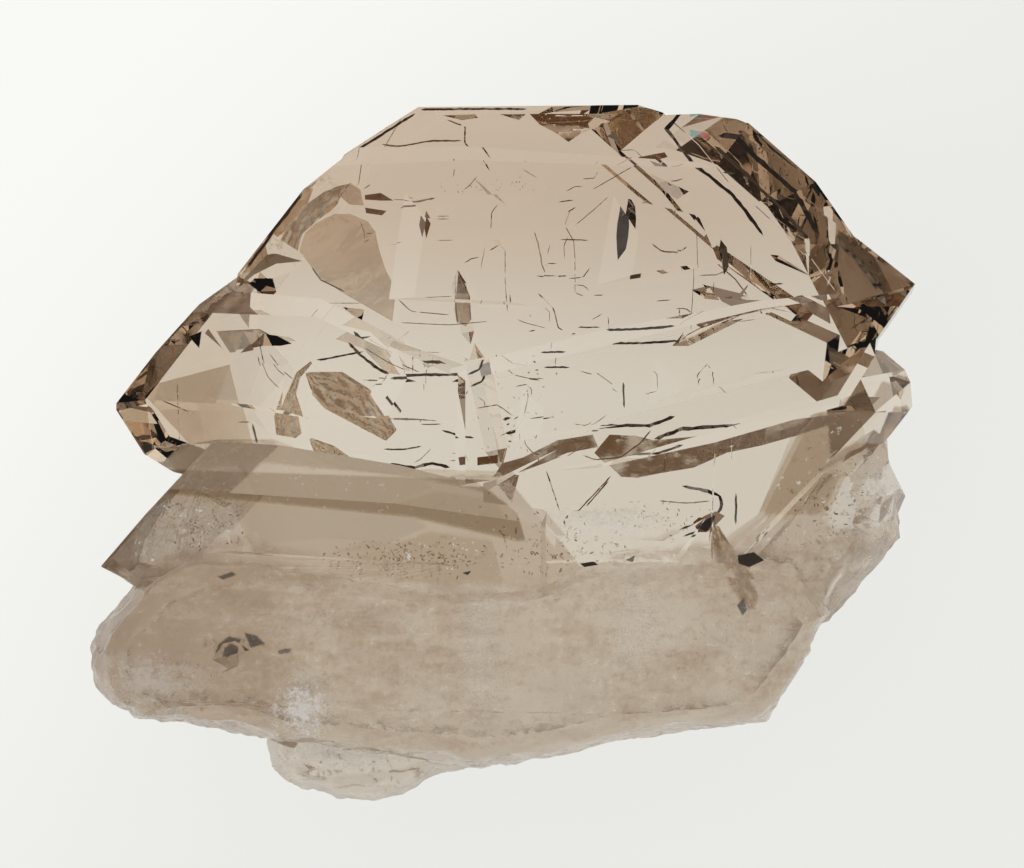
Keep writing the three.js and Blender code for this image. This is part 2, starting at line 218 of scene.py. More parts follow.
# Flat cracks: how steeply and towards which side they dip, the height of their middle, their outline.
# Those near 38 degrees dim the light, and those steeper than 41 are mirrors that show the dark sides.
FLAT_CRACKS = [
    (43.6, 135, 10.0, [
        (-29.5, -3.6), (-34.3, -8.9), (-32.5, -10.2), (-31.6, -9.6), (-31.3, -7.5), (-29.2, -4.6),
    ]),
    (68.0, -60, 14.0, [(-26.5, -3.1), (-23.5, -4.2), (-24.2, -4.6)]),
    (68.0, 45, 11.0, [(17.3, 15.8), (18.4, 14.7), (18.2, 14.3)]),
    (68.0, 45, 11.0, [(-0.7, 18.8), (-0.1, 18.9), (0.5, 17.9)]),
    (65.0, 200, 9.0, [(31.5, 15.2), (33.2, 14.8), (33.2, 13.4)]),
    (44.4, -77, 8.5, [
        (10.5, -1.9), (8.3, 0.2), (9.6, 1.8), (11.9, 1.7), (13.5, 1.3), (16.9, 1.6), (19.8, 2.1),
        (22.7, 2.6), (26.3, 3.2), (30.0, 3.6), (28.6, 2.6), (26.3, 1.8), (22.7, 0.8), (19.8, 0.2),
        (16.9, -1.1), (13.9, -1.6), (11.9, -2.0),
    ]),
    (44.0, -77, 8.0, [
        (-0.6, -2.0), (1.6, -1.5), (3.8, -0.7), (6.0, 0.2), (8.7, 0.7), (8.2, 1.8), (5.1, 1.3),
        (2.1, -0.2), (0.3, -0.7),
    ]),
    (43.9, 90, 7.0, [(-1.9, -0.2), (-0.1, 0.0), (-0.1, -0.7), (-1.9, -0.9)]),
    (44.4, -90, 9.0, [
        (2.7, 29.9), (3.6, 29.0), (5.2, 28.2), (6.2, 27.5), (7.2, 28.2), (8.8, 28.8), (10.5, 29.6),
        (11.1, 29.9),
    ]),
    (44.4, -90, 9.0, [(0.1, 29.9), (1.8, 29.4), (2.4, 29.9)]),
    (44.4, -90, 9.0, [(-4.9, 29.8), (-3.2, 29.4), (-1.8, 29.6), (-2.1, 29.9)]),
    (44.2, 120, 9.0, [
        (-20.5, 17.6), (-19.6, 17.7), (-17.3, 17.0), (-19.6, 16.8), (-21.6, 15.8), (-22.9, 14.7),
        (-22.6, 15.5), (-21.4, 16.6),
    ]),
    (44.6, 80, 11.0, [
        (-21.5, 15.5), (-19.9, 15.5), (-19.6, 14.3), (-19.9, 14.0), (-21.1, 14.3), (-22.0, 15.0),
    ]),
    (38.6, 60, 6.0, [(-24.9, 10.9), (-21.1, 11.1), (-18.0, 9.4), (-23.7, 9.0)]),
    (37.2, 20, 5.5, [(-14.4, 10.2), (-12.0, 11.7), (-9.7, 9.0), (-8.0, 6.7), (-9.7, 7.0), (-12.0, 9.4)]),
    (44.2, -77, 10.0, [
        (17.2, 11.4), (20.1, 12.8), (23.6, 13.4), (26.5, 14.0), (28.9, 12.8), (29.1, 11.5), (27.6, 12.3),
        (26.3, 13.3), (23.6, 12.8), (20.5, 12.1), (17.7, 11.1),
    ]),
    (44.6, 90, 13.5, [
        (16.7, -6.1), (17.7, -5.3), (18.7, -4.9), (19.5, -5.3), (18.7, -6.1), (17.9, -6.7), (17.0, -6.7),
    ]),
    (44.6, 90, 15.0, [(20.5, -8.6), (21.9, -8.4), (22.8, -9.1), (21.5, -9.9), (20.4, -9.6)]),
    (30.0, 90, 12.0, [(16.7, 28.5), (18.4, 28.1), (18.4, 27.6), (16.7, 27.9)]),
    (38.2, -60, 9.0, [
        (-17.6, 17.9), (-17.1, 19.4), (-16.1, 20.3), (-14.5, 21.1), (-13.1, 21.1), (-11.6, 20.5),
        (-10.9, 19.6), (-10.5, 17.9), (-9.9, 16.2), (-9.2, 15.0), (-9.1, 13.6), (-9.3, 11.8),
        (-11.1, 12.8), (-13.8, 14.3), (-15.7, 15.5),
    ]),
    (38.6, 200, 9.0, [(-14.5, 23.2), (-13.1, 23.9), (-12.2, 23.3), (-11.9, 21.9), (-13.1, 22.0)]),
    (38.4, 0, 8.0, [(-3.5, 16.2), (-2.5, 14.0), (-2.4, 11.9), (-2.9, 11.3), (-3.7, 11.7), (-3.9, 12.8)]),
    (39.0, 140, 9.0, [(-2.2, 24.4), (-1.0, 23.3), (0.6, 21.5), (-0.7, 22.5)]),
    (39.3, 30, 10.0, [(13.1, 24.7), (16.7, 23.1), (15.6, 22.4), (14.5, 23.1)]),
    (44.4, 90, 10.0, [(-11.8, 22.8), (-10.4, 23.0), (-9.3, 22.3), (-10.4, 22.3), (-11.8, 22.4)]),
    (44.4, 90, 10.5, [(-11.8, 21.7), (-9.9, 21.4), (-10.3, 21.0), (-11.7, 21.2)]),
    (44.4, 120, 9.5, [(-6.4, 21.0), (-6.0, 20.3), (-6.4, 19.0), (-6.6, 20.1)]),
    (43.4, 80, 8.0, [(-13.7, 13.0), (-11.8, 12.8), (-12.1, 11.6)]),
    (44.4, 100, 7.0, [(-22.3, 8.8), (-21.3, 9.7), (-20.5, 10.4), (-18.3, 9.3), (-19.3, 9.1), (-20.8, 9.1)]),
    (43.9, 60, 7.5, [(-27.3, 10.4), (-26.2, 10.9), (-26.4, 9.4)]),
    (44.4, 150, 9.0, [(-25.6, 11.1), (-24.1, 9.0), (-24.4, 9.4), (-25.9, 10.7)]),
    (35.5, 180, 8.0, [(-30.1, 6.3), (-23.5, 8.0), (-21.7, 1.0), (-27.3, 1.0), (-30.8, 4.8)]),
    (43.9, 200, 9.0, [(-7.0, 7.6), (-5.8, 7.5), (-6.5, 7.2)]),
    (43.4, 45, 8.5, [(-9.4, 5.0), (-8.6, 3.9), (-8.7, 3.7), (-9.6, 4.8)]),
    (44.4, 260, 10.0, [(11.8, 25.5), (12.3, 26.1), (14.5, 26.5), (14.8, 26.1), (13.1, 25.6), (12.2, 25.4)]),
    (44.4, 100, 8.0, [(18.4, 14.9), (21.2, 14.2), (22.0, 15.0), (21.2, 13.6), (19.2, 13.9)]),
    (43.4, 60, 7.0, [(19.1, 14.2), (20.6, 13.7), (23.2, 13.6), (24.1, 13.4), (21.0, 12.8), (19.4, 13.6)]),
]

# Dark specks and cavities in the cloudy quartz, painted near-black: dark inclusions, and painted shade in
# the cavities and over the mirror cracks. Their height and their outlines
DARK_SPOTS = [
    (18.4, [
        (-24.9, -17.6), (-24.6, -16.4), (-23.7, -15.6), (-22.6, -15.9), (-22.9, -16.8), (-23.0, -17.6),
        (-23.9, -18.2),
    ]),
    (18.6, [(-22.3, -15.3), (-21.1, -15.7), (-20.5, -16.3), (-21.7, -16.7)]),
    (18.2, [(-19.4, -16.9), (-18.2, -16.7), (-18.4, -17.1), (-19.4, -17.2)]),
    (18.8, [(-24.6, -10.9), (-23.4, -10.4), (-22.9, -10.7), (-24.2, -11.2)]),
    (18.4, [(20.5, -8.7), (21.9, -8.4), (22.8, -9.1), (21.5, -9.7), (20.6, -9.4)]),
    (18.0, [(16.9, -6.3), (17.9, -5.5), (18.6, -5.2), (18.3, -6.0), (17.8, -6.6)]),
    (18.2, [(6.8, -9.4), (8.0, -9.2), (8.4, -9.5), (7.2, -9.7)]),
    (18.4, [(-3.4, -10.2), (-2.6, -10.0), (-2.9, -10.4)]),
    (18.2, [(10.8, -9.0), (11.6, -8.7), (11.4, -9.2)]),
    (18.0, [(20.4, -13.0), (21.0, -12.4), (21.3, -13.4), (20.9, -13.9)]),
]

# Cracks that are seen edge on: width, height, and the places that they run through. The last three
# follow the crown's left and upper edges
EDGE_CRACKS = [
    (0.35, 9.5, [(14.3, 29.2), (17.0, 25.6), (20.4, 22.9), (22.0, 20.9), (23.2, 19.2)]),
    (0.35, 9.5, [(19.0, 27.1), (21.8, 24.6), (24.6, 21.7), (27.1, 18.9)]),
    (0.12, 11.0, [(3.9, -1.3), (5.1, -4.9), (6.7, -4.9), (9.6, -1.8)]),
    (0.12, 11.5, [(7.4, -4.5), (9.4, -2.2)]),
    (0.30, 10.0, [(15.8, -2.7), (17.4, -3.0), (19.1, -3.5), (19.3, -4.5), (18.3, -6.0)]),
    (0.20, 10.0, [(17.9, -6.2), (15.5, -7.0)]),
    (0.12, 11.0, [(13.8, -4.0), (16.2, -4.2), (18.3, -4.0)]),
    (0.22, 11.0, [(20.5, -3.3), (20.5, -6.1)]),
    (0.13, 8.0, [(-12.2, 6.6), (-9.4, 6.5)]),
    (0.26, 8.5, [(-9.2, 6.5), (-6.0, 6.6), (-3.4, 6.6)]),
    (0.18, 7.0, [(-16.1, 8.4), (-15.4, 8.4), (-13.1, 8.9), (-11.9, 9.1)]),
    (0.30, 9.5, [(-13.3, 9.9), (-12.5, 9.0), (-10.6, 7.5), (-9.3, 6.9)]),
    (0.08, 11.0, [(-11.9, 9.4), (-9.6, 8.0), (-7.1, 6.9)]),
    (0.20, 9.0, [(-5.1, 2.2), (-4.1, 1.9), (-3.1, 1.6), (-2.2, 1.5)]),
    (0.30, 6.5, [(-9.8, -0.8), (-7.3, -1.1), (-6.0, -0.7), (-4.3, -1.1)]),
    (0.18, 8.0, [(-10.2, 0.5), (-8.4, 0.5), (-6.8, 0.8)]),
    (0.16, 8.5, [(-8.7, 21.7), (-7.2, 21.8), (-5.6, 22.1)]),
    (0.08, 10.0, [(-9.9, 18.4), (-8.2, 18.6)]),
    (0.08, 9.0, [(-8.9, 13.7), (-7.7, 12.6), (-4.3, 12.3)]),
    (0.07, 11.0, [(-8.7, 11.6), (-4.4, 11.4), (-1.0, 11.7)]),
    (0.16, 12.0, [(-10.4, 27.2), (-8.9, 27.0), (-6.0, 27.5), (-3.3, 27.5)]),
    (0.14, 10.0, [(-4.6, 29.4), (-3.0, 28.8), (-3.0, 27.3), (-1.5, 26.0), (-0.8, 24.9)]),
    (0.30, 9.0, [(8.1, 2.4), (11.0, 2.6), (13.2, 2.6), (15.4, 3.4)]),
    (0.34, 8.0, [(13.6, 1.4), (16.1, 2.3), (19.2, 2.5), (24.2, 2.8)]),
    (0.22, 10.0, [(9.6, 9.8), (12.2, 9.8), (15.7, 10.0)]),
    (0.09, 10.5, [(15.9, 10.0), (16.4, 10.5), (18.1, 11.4), (20.6, 12.8)]),
    (0.90, 8.5, [(11.3, 22.3), (11.6, 20.9), (11.4, 18.9), (11.0, 17.0)]),
    (0.70, 8.5, [(19.5, 18.9), (19.9, 17.4), (19.8, 15.8)]),
    (0.12, 11.0, [(2.7, 19.5), (3.0, 18.6), (3.4, 16.7), (3.8, 15.8)]),
    (0.10, 9.0, [(3.6, 16.8), (5.1, 16.8)]),
    (0.12, 9.0, [(5.1, 15.7), (6.0, 15.7)]),
    (0.10, 11.5, [(6.2, 21.5), (5.7, 20.1), (6.5, 18.7), (6.6, 17.0), (6.6, 14.2), (7.4, 13.9)]),
    (0.08, 11.0, [(0.5, 18.1), (0.5, 15.3), (0.7, 12.5)]),
    (0.13, 10.0, [(3.4, 14.2), (4.8, 12.8), (5.2, 11.1), (5.8, 10.9)]),
    (0.07, 11.0, [(1.5, 11.9), (2.2, 11.6), (4.1, 11.1)]),
    (0.14, 9.5, [(6.9, 11.2), (8.9, 11.2)]),
    (0.08, 11.0, [(9.5, 12.2), (9.7, 10.1)]),
    (0.18, 9.0, [(3.9, 7.7), (6.2, 7.7)]),
    (0.07, 10.5, [(-0.3, 8.3), (1.3, 7.0), (2.7, 6.7), (3.9, 6.7)]),
    (0.08, 11.0, [(6.9, 7.4), (8.3, 7.0), (10.3, 5.5)]),
    (0.20, 11.0, [(10.8, 6.4), (10.9, 4.1)]),
    (0.08, 11.0, [(1.3, 6.0), (2.4, 6.2), (2.9, 5.2), (2.5, 3.3)]),
    (0.10, 9.0, [(3.1, 3.1), (4.6, 3.3)]),
    (0.26, 9.0, [(0.3, 3.1), (1.0, 3.3)]),
    (0.30, 8.5, [(0.5, 1.9), (1.7, 2.1)]),
    (0.09, 10.0, [(2.2, 1.9), (2.2, 1.0), (3.0, 0.1), (3.8, 0.0)]),
    (0.12, 12.5, [(13.2, 2.2), (12.2, 1.0), (10.5, -0.2), (8.3, -0.4), (7.2, 0.0)]),
    (0.07, 12.5, [(15.2, 1.0), (14.3, -0.2), (14.2, -1.6)]),
    (0.07, 12.5, [(20.1, 2.1), (20.1, -0.4)]),
    (0.08, 12.0, [(8.1, 23.2), (9.5, 24.0), (11.6, 25.2)]),
    (0.07, 12.0, [(6.6, 20.1), (8.3, 21.5), (9.5, 22.6)]),
    (0.14, 12.0, [(13.3, 18.5), (14.2, 17.8), (15.6, 17.7), (16.1, 18.1)]),
    (0.10, 9.0, [(13.8, 13.5), (15.2, 13.6)]),
    (0.06, 11.5, [(16.9, 19.5), (17.0, 15.3), (16.7, 10.8)]),
    (0.06, 11.5, [(22.0, 18.4), (22.0, 15.3)]),
    (0.14, 9.0, [(23.7, 15.0), (25.0, 15.0)]),
    (0.24, 9.0, [(19.7, 24.8), (20.9, 24.7)]),
    (0.14, 10.0, [(5.0, 26.4), (6.3, 25.8)]),
    (0.06, 12.0, [(2.0, 25.0), (3.3, 24.2)]),
    (0.10, 9.0, [(-16.5, 16.5), (-15.7, 15.4), (-13.5, 14.3)]),
    (0.06, 12.0, [(-16.4, 13.8), (-15.4, 13.3), (-12.1, 13.3)]),
    (0.08, 11.0, [(-21.3, 10.4), (-20.8, 8.0), (-20.3, 6.8), (-19.3, 5.8)]),
    (0.07, 10.0, [(-20.3, 8.6), (-19.4, 7.4), (-18.4, 6.6)]),
    (0.06, 12.0, [(-28.3, 6.3), (-28.1, 1.2)]),
    (0.10, 10.0, [(-29.7, 4.8), (-28.0, 4.1), (-26.9, 3.6)]),
    (0.22, 8.0, [(-21.7, 2.8), (-21.3, 1.0)]),
    (0.10, 9.0, [(-23.1, 2.9), (-21.9, 2.9)]),
    (0.07, 12.0, [(-3.9, 15.8), (-3.9, 13.6), (-3.7, 11.4)]),
    (0.06, 11.0, [(-6.6, 13.8), (-4.1, 13.9)]),
    (0.10, 11.0, [(-2.0, 4.1), (-0.2, 4.4), (1.2, 3.4)]),
    (0.20, 10.5, [(-1.1, 7.8), (-1.5, 6.5), (-2.6, 6.0)]),
    (0.30, 13.4, [(-22.2, 16.3), (-19.7, 19.8), (-17.3, 22.9)]),
    (0.24, 12.8, [(-13.3, 26.2), (-10.4, 28.0), (-7.4, 29.9)]),
    (0.20, 12.8, [(-7.0, 30.2), (-4.0, 30.25), (2.4, 30.25)]),
]
CRACK_SLOPE = 43.8  # of an edge-on crack's upper side
CRACK_WIDTHS = (0.7, 1.1)  # the least and the most share of its width along its path
CRACK_SWAY = 0.12  # how far it sways to each side, as a share of its width
CRACK_STEP = 0.35  # between the changes of its width
CRACK_STEP_SHARE = 1.3  # such a step is at least this share of the width

# Hair cracks strewn through the clear quartz: how many, the corners of their space, and their sizes
HAIR_CRACKS = 70
HAIR_LOW = (-12.0, -1.5, 7.0)
HAIR_HIGH = (20.0, 28.0, 13.0)
HAIR_WIDTHS = (0.05, 0.12)
HAIR_LENGTHS = (0.4, 1.6)
HAIR_DIRECTIONS = (0, 3, -4, 5, 90, 87, 32)
HAIR_TURN = 6
HAIR_BEND = 60
DARK_FROM = 0.18  # a crack that is at least this wide gets painted shade: near-black colour on its walls

# Crumpled cracks: how steeply and towards which side they dip, the height of their middle, the depth of
# their folds, and the two edges that they lie between
VEILS = [
    (37.5, 40, 9.0, 0.10,
     [(-17.4, 7.2), (-16.9, 5.8), (-15.4, 4.1), (-13.1, 2.9), (-10.1, 1.3)],
     [(-17.0, 7.3), (-13.8, 7.3), (-11.4, 5.8), (-9.9, 3.6), (-9.0, 2.2), (-9.9, 1.3)]),
    (38.5, 20, 9.0, 0.10,
     [(-17.1, 8.3), (-18.3, 7.3), (-19.1, 5.4), (-19.8, 3.4), (-19.6, 1.8)],
     [(-17.0, 8.1), (-18.0, 6.8), (-18.3, 5.4), (-17.7, 3.5), (-17.4, 1.9), (-17.9, 1.5)]),
    (36.5, 40, 8.0, 0.12,
     [(-16.7, 1.4), (-16.4, 0.5), (-15.0, -1.0), (-13.1, -1.7)],
     [(-16.5, 1.5), (-14.5, 0.8), (-13.1, -0.2), (-12.4, -1.1)]),
    (41.5, 140, 9.0, 0.16,
     [(-19.2, 18.9), (-18.3, 20.6), (-17.0, 22.0), (-15.4, 23.1), (-14.2, 23.6), (-13.1, 23.8)],
     [(-17.7, 17.9), (-17.3, 19.4), (-16.1, 20.5), (-14.8, 21.4), (-14.2, 22.0), (-13.8, 22.9)]),
    (42.5, 160, 14.0, 0.30,
     [(18.2, -6.2), (18.6, -9.0), (20.6, -12.6), (21.4, -13.4)],
     [(19.0, -6.2), (20.4, -8.6), (22.3, -12.2), (22.0, -13.4)]),
]
VEIL_JITTER = 0.022
VEIL_STEP = 0.16  # between the points of a crumpled crack
FOLD_STEPS = (0.31, 0.17)  # how far the fold noise moves on from one point to the next
GAP = 0.03  # the width of an open crack

# Swarms of small flat hollows that glint: their middle, their reach each way, how many, and their size
FLAKES = [
    ((1.0, 2.0, 11.0), (4.5, 11.0, 2.0), 60, 0.35),
    ((-0.5, 23.5, 12.0), (6.0, 0.9, 1.5), 40, 0.22),
    ((-26.5, -6.6, 14.0), (4.2, 2.6, 2.0), 90, 0.40),
    ((-8.5, -9.2, 14.0), (7.5, 1.8, 2.0), 170, 0.45),
    ((4.5, -8.0, 14.0), (6.5, 2.6, 2.0), 130, 0.45),
    ((14.0, -5.6, 13.5), (4.5, 2.2, 2.0), 50, 0.40),
    ((-28.5, -20.0, 15.0), (3.6, 2.4, 2.0), 90, 0.45),
    ((-24.0, -16.6, 15.5), (2.2, 1.2, 1.5), 70, 0.60),
    ((-17.3, -22.0, 15.0), (2.3, 2.3, 2.0), 60, 0.45),
    ((18.0, -15.0, 15.0), (8.0, 5.0, 2.0), 60, 0.35),
    ((29.0, -6.5, 12.0), (4.6, 8.0, 2.0), 200, 0.45),
    ((-11.0, -26.5, 7.5), (7.0, 2.4, 1.5), 60, 0.45),
]
FLAKE_DIPS = (32, 43)
FLAKE_SPREAD = 0.45
FLAKE_CORNERS = (4, 6)
FLAKE_STRETCH = (0.15, 0.6)
FLAKE_RADII = (0.5, 1.1)
FLAKE_COVER = 0.5  # the least quartz between a hollow and the surface

# The surface of the cloudy zone: the longest edge in its mesh, how rough it is on the broad faces and on
# the broken walls, and the border over which the roughness fades
CLOUD_MESH = 0.8
CLOUD_MESH_PASSES = 7
CLOUD_FADE = 1.2
RIPPLE = 0.10
FRACTURE = 0.35
WALL_GAIN = 1.6
ROUGH_SCALE = 0.45
ROUGH_NOISE = (0.8, 2.2, 4)
WELD = 0.002
SHARP = 34.0
REST_ZONE = 0.01


class Graph:
    """A node tree, with short calls for the nodes used here."""

    def __init__(self, tree):
        self.tree = tree
        tree.nodes.clear()

    def feed(self, socket, value):
        if isinstance(value, bpy.types.NodeSocket):
            self.tree.links.new(value, socket)
        else:
            socket.default_value = value

    def add(self, kind, inputs=(), **settings):
        made = self.tree.nodes.new("ShaderNode" + kind)
        for name, value in settings.items():
            setattr(made, name, value)
        for name, value in dict(inputs).items():
            self.feed(made.inputs[name], value)
        return made

    def math(self, operation, first, second=0.0):
        return self.add("Math", {0: first, 1: second}, operation=operation).outputs[0]

    def ramp(self, value, low, high, at_low=0.0, at_high=1.0):
        """A smooth change from one value to another."""
        made = self.add("MapRange", {"Value": value, "From Min": low, "From Max": high},
                        interpolation_type="SMOOTHSTEP")
        made.inputs["To Min"].default_value = at_low
        made.inputs["To Max"].default_value = at_high
        return made.outputs["Result"]

    def swing(self, value, low, high, most):
        """A smooth change from the negative of a number to the number."""
        return self.ramp(value, low, high, -most, most)

    def noise(self, place, scale, detail, rough):
        made = self.add("TexNoise", {"Vector": place, "Scale": scale, "Detail": detail, "Roughness": rough})
        return made.outputs["Fac"]

    def mix(self, factor, first, second):
        made = self.add("Mix", data_type="RGBA")
        self.feed(made.inputs[0], factor)
        self.feed(made.inputs[6], first)
        self.feed(made.inputs[7], second)
        return made.outputs[2]

    def blend(self, factor, first, second):
        made = self.add("Mix", data_type="FLOAT")
        self.feed(made.inputs[0], factor)
        self.feed(made.inputs[2], first)
        self.feed(made.inputs[3], second)
        return made.outputs[0]

    def curve(self, value, points, reach):
        """The height of a line through the points at a place across, all within the reach."""
        made = self.add("FloatCurve")
        line = made.mapping.curves[0]
        spots = [((x + reach) / (2 * reach), (y + reach) / (2 * reach)) for x, y in points]
        line.points[0].location = spots[0]
        line.points[1].location = spots[-1]
        for spot in spots[1:-1]:
            line.points.new(*spot)
        for point in line.points:
            point.handle_type = "VECTOR"
        made.mapping.update()
        across = self.math("DIVIDE", self.math("ADD", value, reach), 2 * reach)
        self.feed(made.inputs["Value"], across)
        return self.math("SUBTRACT", self.math("MULTIPLY", made.outputs["Value"], 2 * reach), reach)


def material(name):
    made = bpy.data.materials.new(name)
    made.use_nodes = True
    return made, Graph(made.node_tree)


def within(graph, x, y, upper, lower):
    """1 between two lines across the view, and 0 outside them."""
    under = graph.math("SUBTRACT", graph.curve(x, upper, EDGE_REACH), y)
    over = graph.math("SUBTRACT", y, graph.curve(x, lower, EDGE_REACH))
    return graph.ramp(graph.math("MINIMUM", under, over), -EDGE_SOFT, EDGE_SOFT)


def egg(graph, place, middle, reach):
    """How far a place lies from the middle of an egg-shaped space, where 1 is its border."""
    away = graph.add("VectorMath", {0: place, 1: middle}, operation="SUBTRACT").outputs[0]
    share = graph.add("VectorMath", {0: away, 1: reach}, operation="DIVIDE").outputs[0]
    return graph.add("VectorMath", {0: share}, operation="LENGTH").outputs["Value"]


def quartz():
    made, graph = material("smoky_quartz")
    place = graph.add("TexCoord").outputs["Object"]
    place = graph.add("VectorMath", {0: place, "Scale": 1 / MM}, operation="SCALE").outputs[0]
    split = graph.add("SeparateXYZ", {0: place})
    x, y, z = split.outputs["X"], split.outputs["Y"], split.outputs["Z"]
    broad = graph.noise(place, *BROAD)
    fine = graph.noise(place, *FINE)
    streaks = graph.add("VectorMath", {0: place, 1: STREAK_STRETCH}, operation="MULTIPLY").outputs[0]
    streaked = graph.noise(streaks, *STREAKED)

    wobble = graph.swing(broad, 0.25, 0.75, CLOUD_WANDER)
    below_cloud = graph.math("SUBTRACT", graph.curve(x, CLOUD_EDGE, EDGE_REACH), y)
    below_haze = graph.math("SUBTRACT", graph.curve(x, HAZE_EDGE, EDGE_REACH), y)
    above_bottom = graph.math("SUBTRACT", y, graph.curve(x, BOTTOM_EDGE, EDGE_REACH))
    cloud = graph.ramp(graph.math("ADD", below_cloud, wobble), *CLOUD_SOFT)
    haze = graph.ramp(below_haze, -EDGE_SOFT, EDGE_SOFT)

    broad_mottle = graph.swing(broad, 0.3, 0.7, BROAD_MOTTLE)
    mottle = graph.math("ADD", broad_mottle, graph.swing(streaked, 0.3, 0.7, STREAK_MOTTLE))
    mottle = graph.math("ADD", mottle, graph.swing(fine, 0.35, 0.65, FINE_MOTTLE))
    paler = graph.math("ADD", graph.curve(x, PALENESS, EDGE_REACH), graph.ramp(above_bottom, *PALE_EDGE))
    body = graph.mix(graph.math("ADD", mottle, paler), CLOUD_TINT, PALE_TINT)
    hazy = HAZE_TINT
    cloudy = graph.math("MULTIPLY", haze, HAZE_CLOUD)
    speckled = graph.math("MULTIPLY", haze, HAZE_SPECKS)
    for tint, amount, specks, upper, lower in PATCHES:
        inside = graph.math("MULTIPLY", within(graph, x, y, upper, lower), haze)
        hazy = graph.mix(inside, hazy, tint)
        cloudy = graph.blend(inside, cloudy, amount)
        speckled = graph.blend(inside, speckled, specks)
    body = graph.mix(cloud, hazy, body)
    milky = graph.blend(cloud, cloudy, graph.ramp(above_bottom, *CLEAR_EDGE, 1.0, EDGE_CLOUD))
    speckled = graph.blend(cloud, speckled, CLOUD_SPECKS)
    specks = graph.math("MULTIPLY", graph.ramp(fine, *SPECK_NOISE), speckled)
    body = graph.mix(specks, body, DARK_SPECK)

    white = 0.0
    for amount, middle, reach in FROST_SPOTS:
        ragged = graph.math("ADD", egg(graph, place, middle, reach), graph.swing(fine, 0.3, 0.7, 0.5))
        white = graph.math("MAXIMUM", white, graph.ramp(ragged, 1.15, 0.1, 0.0, amount))
    # painted glints: small white specks in the cloudy quartz's colour stand in for sparkles of light
    painted_glints = graph.math("MULTIPLY", graph.ramp(fine, *GLINT_NOISE), speckled)
    white = graph.math("MAXIMUM", white, painted_glints)
    crumpled = graph.add("Attribute", attribute_name="crumpled").outputs["Fac"]
    dark = graph.add("Attribute", attribute_name="dark").outputs["Fac"]
    # painted shade on the crown's steep left side walls
    wall_shade = 0.0
    for middle, reach in WALL_SHADE_SPOTS:
        ragged = graph.math("ADD", egg(graph, place, middle, reach), graph.swing(fine, 0.3, 0.7, 0.3))
        wall_shade = graph.math("MAXIMUM", wall_shade, graph.ramp(ragged, 1.0, 0.7))

    in_front = graph.blend(cloud, FRONT_CLOUD, BASE_FRONT_CLOUD)
    behind = graph.ramp(z, FRONT_FROM, FRONT_FROM - FRONT_SOFT)
    frosted = graph.math("MULTIPLY", milky, graph.math("MAXIMUM", behind, in_front))
    clear = graph.mix(graph.ramp(x, *POINT_FADES), CLEAR_TINT, POINT_TINT)
    clear = graph.mix(graph.ramp(y, *CROWN_FADES), clear, CROWN_TINT)
    colour = graph.mix(milky, clear, body)
    colour = graph.mix(white, colour, WHITE)
    colour = graph.mix(wall_shade, colour, WALL_SHADE_TINT)
    # the crumpled cracks' tan, with painted golden glints on it
    veil_tint_and_painted_glints = graph.mix(graph.ramp(fine, *VEIL_NOISE), VEIL_TINT, VEIL_GLINT)
    colour = graph.mix(crumpled, colour, veil_tint_and_painted_glints)
    # painted shade: near-black colour and low clarity on the wider cracks and the dark spots
    colour = graph.mix(dark, colour, PAINTED_SHADE_COLOUR)
    tinted = graph.mix(graph.ramp(x, *RAINBOW_FADES), CYAN, PINK)
    colour = graph.mix(graph.ramp(egg(graph, place, *RAINBOW), 1.0, 0.9), colour, tinted)
    clarity = graph.blend(frosted, 1.0, CLOUD_CLARITY)
    clarity = graph.blend(graph.math("MULTIPLY", white, FROST_SHARE), clarity, FROST_CLARITY)
    clarity = graph.blend(crumpled, clarity, VEIL_CLARITY)
    clarity = graph.blend(dark, clarity, DARK_CLARITY)
    frost = graph.math("MULTIPLY", frosted, CLOUD_FROST)
    frost = graph.math("MAXIMUM", frost, graph.math("MULTIPLY", crumpled, VEIL_FROST))
    bump = graph.add("Bump", {"Height": fine, "Strength": graph.math("MULTIPLY", frosted, CLOUD_BUMP)})
    bump.inputs["Distance"].default_value = BUMP_DEPTH * MM

    skin = graph.add("BsdfPrincipled", {
        "Base Color": colour, "Roughness": frost, "Transmission Weight": clarity, "IOR": QUARTZ_IOR,
        "Normal": bump.outputs["Normal"],
    })
    smoke = graph.add("VolumeAbsorption", {"Color": (*SMOKE_COLOUR, 1), "Density": SMOKE_PER_METRE})
    graph.add("OutputMaterial", {"Surface": skin.outputs["BSDF"], "Volume": smoke.outputs["Volume"]})
    return made


def height_on(points, x):
    """The height at a place of the line through the points."""
    for (x0, y0), (x1, y1) in zip(points, points[1:]):
        if x <= x1:
            return y0 + (y1 - y0) * max(0.0, (x - x0) / (x1 - x0))
    return points[-1][1]


def cloudiness(x, y):
    """How cloudy the quartz is at a place, from 0 to 1."""
    return min(1.0, max(0.0, (height_on(CLOUD_EDGE, x) - y + CLOUD_FADE / 2) / CLOUD_FADE))


def add_hollow(shape, points, faces, kind=None):
    """Adds a closed hollow to the quartz: its faces point into it. Its kind is marked on its corners."""
    made = [shape.verts.new(Vector(point) * MM) for point in points]
    if kind:
        for vert in made:
            vert[shape.verts.layers.float[kind]] = 1.0
    for face in faces:
        shape.faces.new([made[i] for i in reversed(face)])


